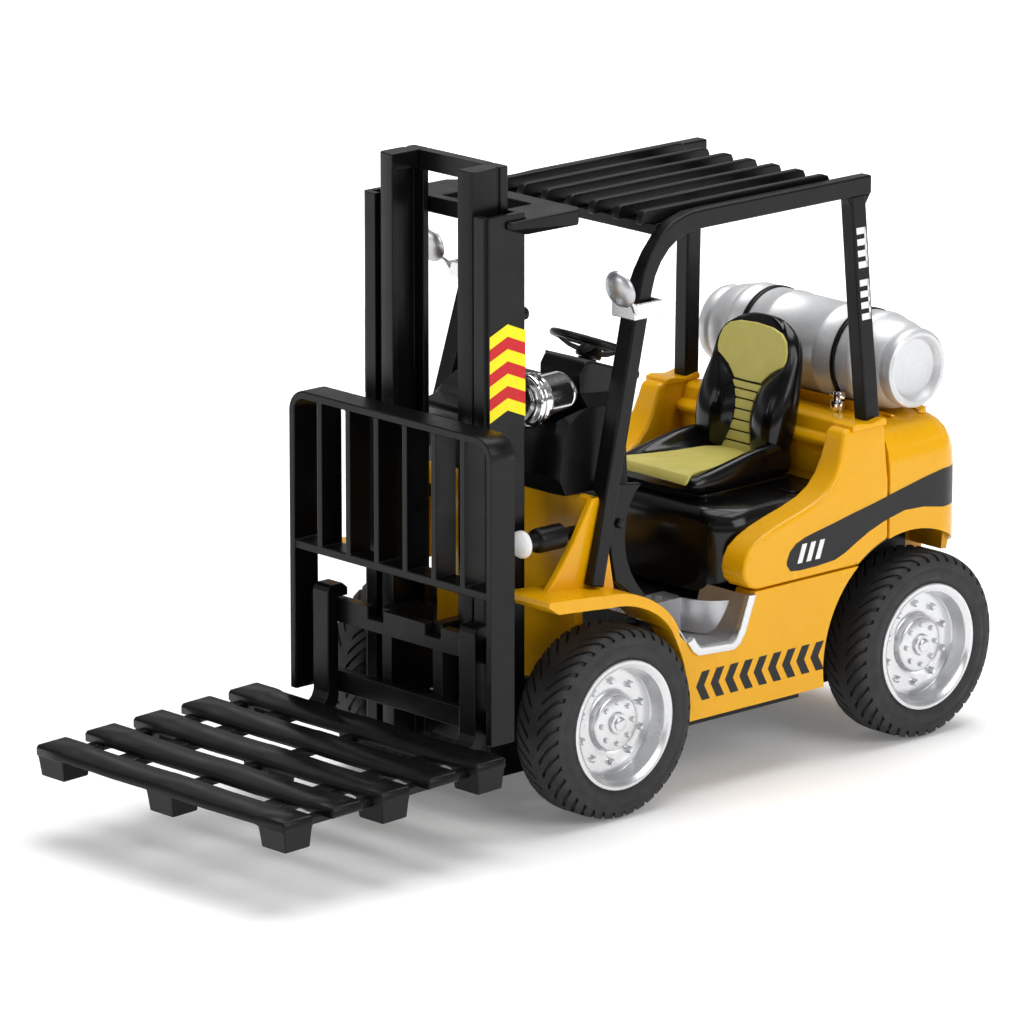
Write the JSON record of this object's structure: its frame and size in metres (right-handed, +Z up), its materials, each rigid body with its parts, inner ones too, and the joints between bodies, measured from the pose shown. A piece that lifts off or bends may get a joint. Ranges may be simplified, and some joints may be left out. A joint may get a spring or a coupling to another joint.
{
  "type": "toy forklift",
  "caption": "Scale-model counterbalance forklift with rolling wheels, tilting two-stage mast, lifting fork carriage, open cab with overhead guard, gas tank and a loose pallet.",
  "frame": {"origin": "bottom centre of the whole toy on the ground, midway between the front of the pallet and the back of the rear tyres", "axes": "+Z up, forks point to -Y, +X is the left-hand side of the truck"},
  "size_m": [0.0734, 0.1956, 0.13],
  "materials": {
    "black_plastic": "satin moulded black plastic",
    "gloss_black": "gloss black plastic",
    "yellow_paint": "glossy yellow-orange enamel on die-cast metal",
    "upholstery": "satin olive-khaki paint on moulded plastic",
    "bright_plating": "vacuum-plated bright chrome",
    "silver_paint": "satin silver paint",
    "strap_rubber": "thin black band",
    "steel": "plain steel",
    "tyre_rubber": "soft black rubber with moulded tread"
  },
  "bodies": {
    "truck": {"chassis_plate": "black_plastic", "floor_pan": "black_plastic", "dash_cowl": "black_plastic", "steering_column": "black_plastic", "control_lever": "black_plastic", "guard_side_left": "black_plastic", "guard_side_right": "black_plastic", "guard_front_beam": "black_plastic", "guard_rear_beam": "black_plastic", "roof_bar_set": "black_plastic", "post_bracket_left": "black_plastic", "post_bracket_right": "black_plastic", "headlamp_left": "black_plastic", "headlamp_right": "black_plastic", "engine_hood": "gloss_black", "seat_shell": "gloss_black", "lower_body": "yellow_paint", "rear_cowl": "yellow_paint", "counterweight": "yellow_paint", "tank_cradle": "yellow_paint", "seat_insert": "upholstery", "step_tray_left": "bright_plating", "step_tray_right": "bright_plating", "mirror_left": "bright_plating", "mirror_right": "bright_plating", "mirror_band_left": "bright_plating", "mirror_band_right": "bright_plating", "work_lamp": "bright_plating", "tank_valve": "bright_plating", "gas_tank": "silver_paint", "tank_straps": "strap_rubber", "base_screws": "steel"},
    "steering": {"steering_wheel": "black_plastic"},
    "front_wheels": {"front_axle": "steel", "front_rim_left": "bright_plating", "front_rim_right": "bright_plating", "front_tyre_left": "tyre_rubber", "front_tyre_right": "tyre_rubber"},
    "rear_wheels": {"rear_axle": "steel", "rear_rim_left": "bright_plating", "rear_rim_right": "bright_plating", "rear_tyre_left": "tyre_rubber", "rear_tyre_right": "tyre_rubber"},
    "outer_mast": {"outer_channel_left": "black_plastic", "outer_channel_right": "black_plastic", "mast_top_plate": "black_plastic", "mast_lower_tie": "black_plastic", "mast_pin": "steel"},
    "inner_mast": {"inner_channel_left": "black_plastic", "inner_channel_right": "black_plastic", "inner_crosshead": "black_plastic", "inner_lower_tie": "black_plastic"},
    "carriage": {"carriage_bars": "black_plastic", "carriage_slides": "black_plastic", "fork_left": "black_plastic", "fork_right": "black_plastic", "backrest": "black_plastic"},
    "load_pallet": {"pallet": "black_plastic"}
  },
  "joints": [
    {"name": "front_wheels_roll", "type": "hinge", "parent": "truck", "child": "front_wheels", "pos_m": [0, -0.00645, 0.0193], "axis": [1, 0, 0], "continuous": true},
    {"name": "rear_wheels_roll", "type": "hinge", "parent": "truck", "child": "rear_wheels", "pos_m": [0, 0.07855, 0.0193], "axis": [1, 0, 0], "continuous": true},
    {"name": "steering_wheel_turn", "type": "hinge", "parent": "truck", "child": "steering", "pos_m": [0, 0.01655, 0.0868], "axis": [0, 0.3746, 0.9272], "continuous": true},
    {"name": "mast_tilt", "type": "hinge", "parent": "truck", "child": "outer_mast", "pos_m": [0, -0.01365, 0.014], "axis": [1, 0, 0], "range_deg": [-1.5, 6]},
    {"name": "mast_lift", "type": "slide", "parent": "outer_mast", "child": "inner_mast", "axis": [0, 0, 1], "range_m": [0, 0.045]},
    {"name": "carriage_lift", "type": "slide", "parent": "inner_mast", "child": "carriage", "axis": [0, 0, 1], "range_m": [0, 0.078]},
    {"name": "pallet_slide", "type": "slide", "parent": "carriage", "child": "load_pallet", "axis": [0, -0.9995, -0.0314], "range_m": [0, 0.045]}
  ]
}
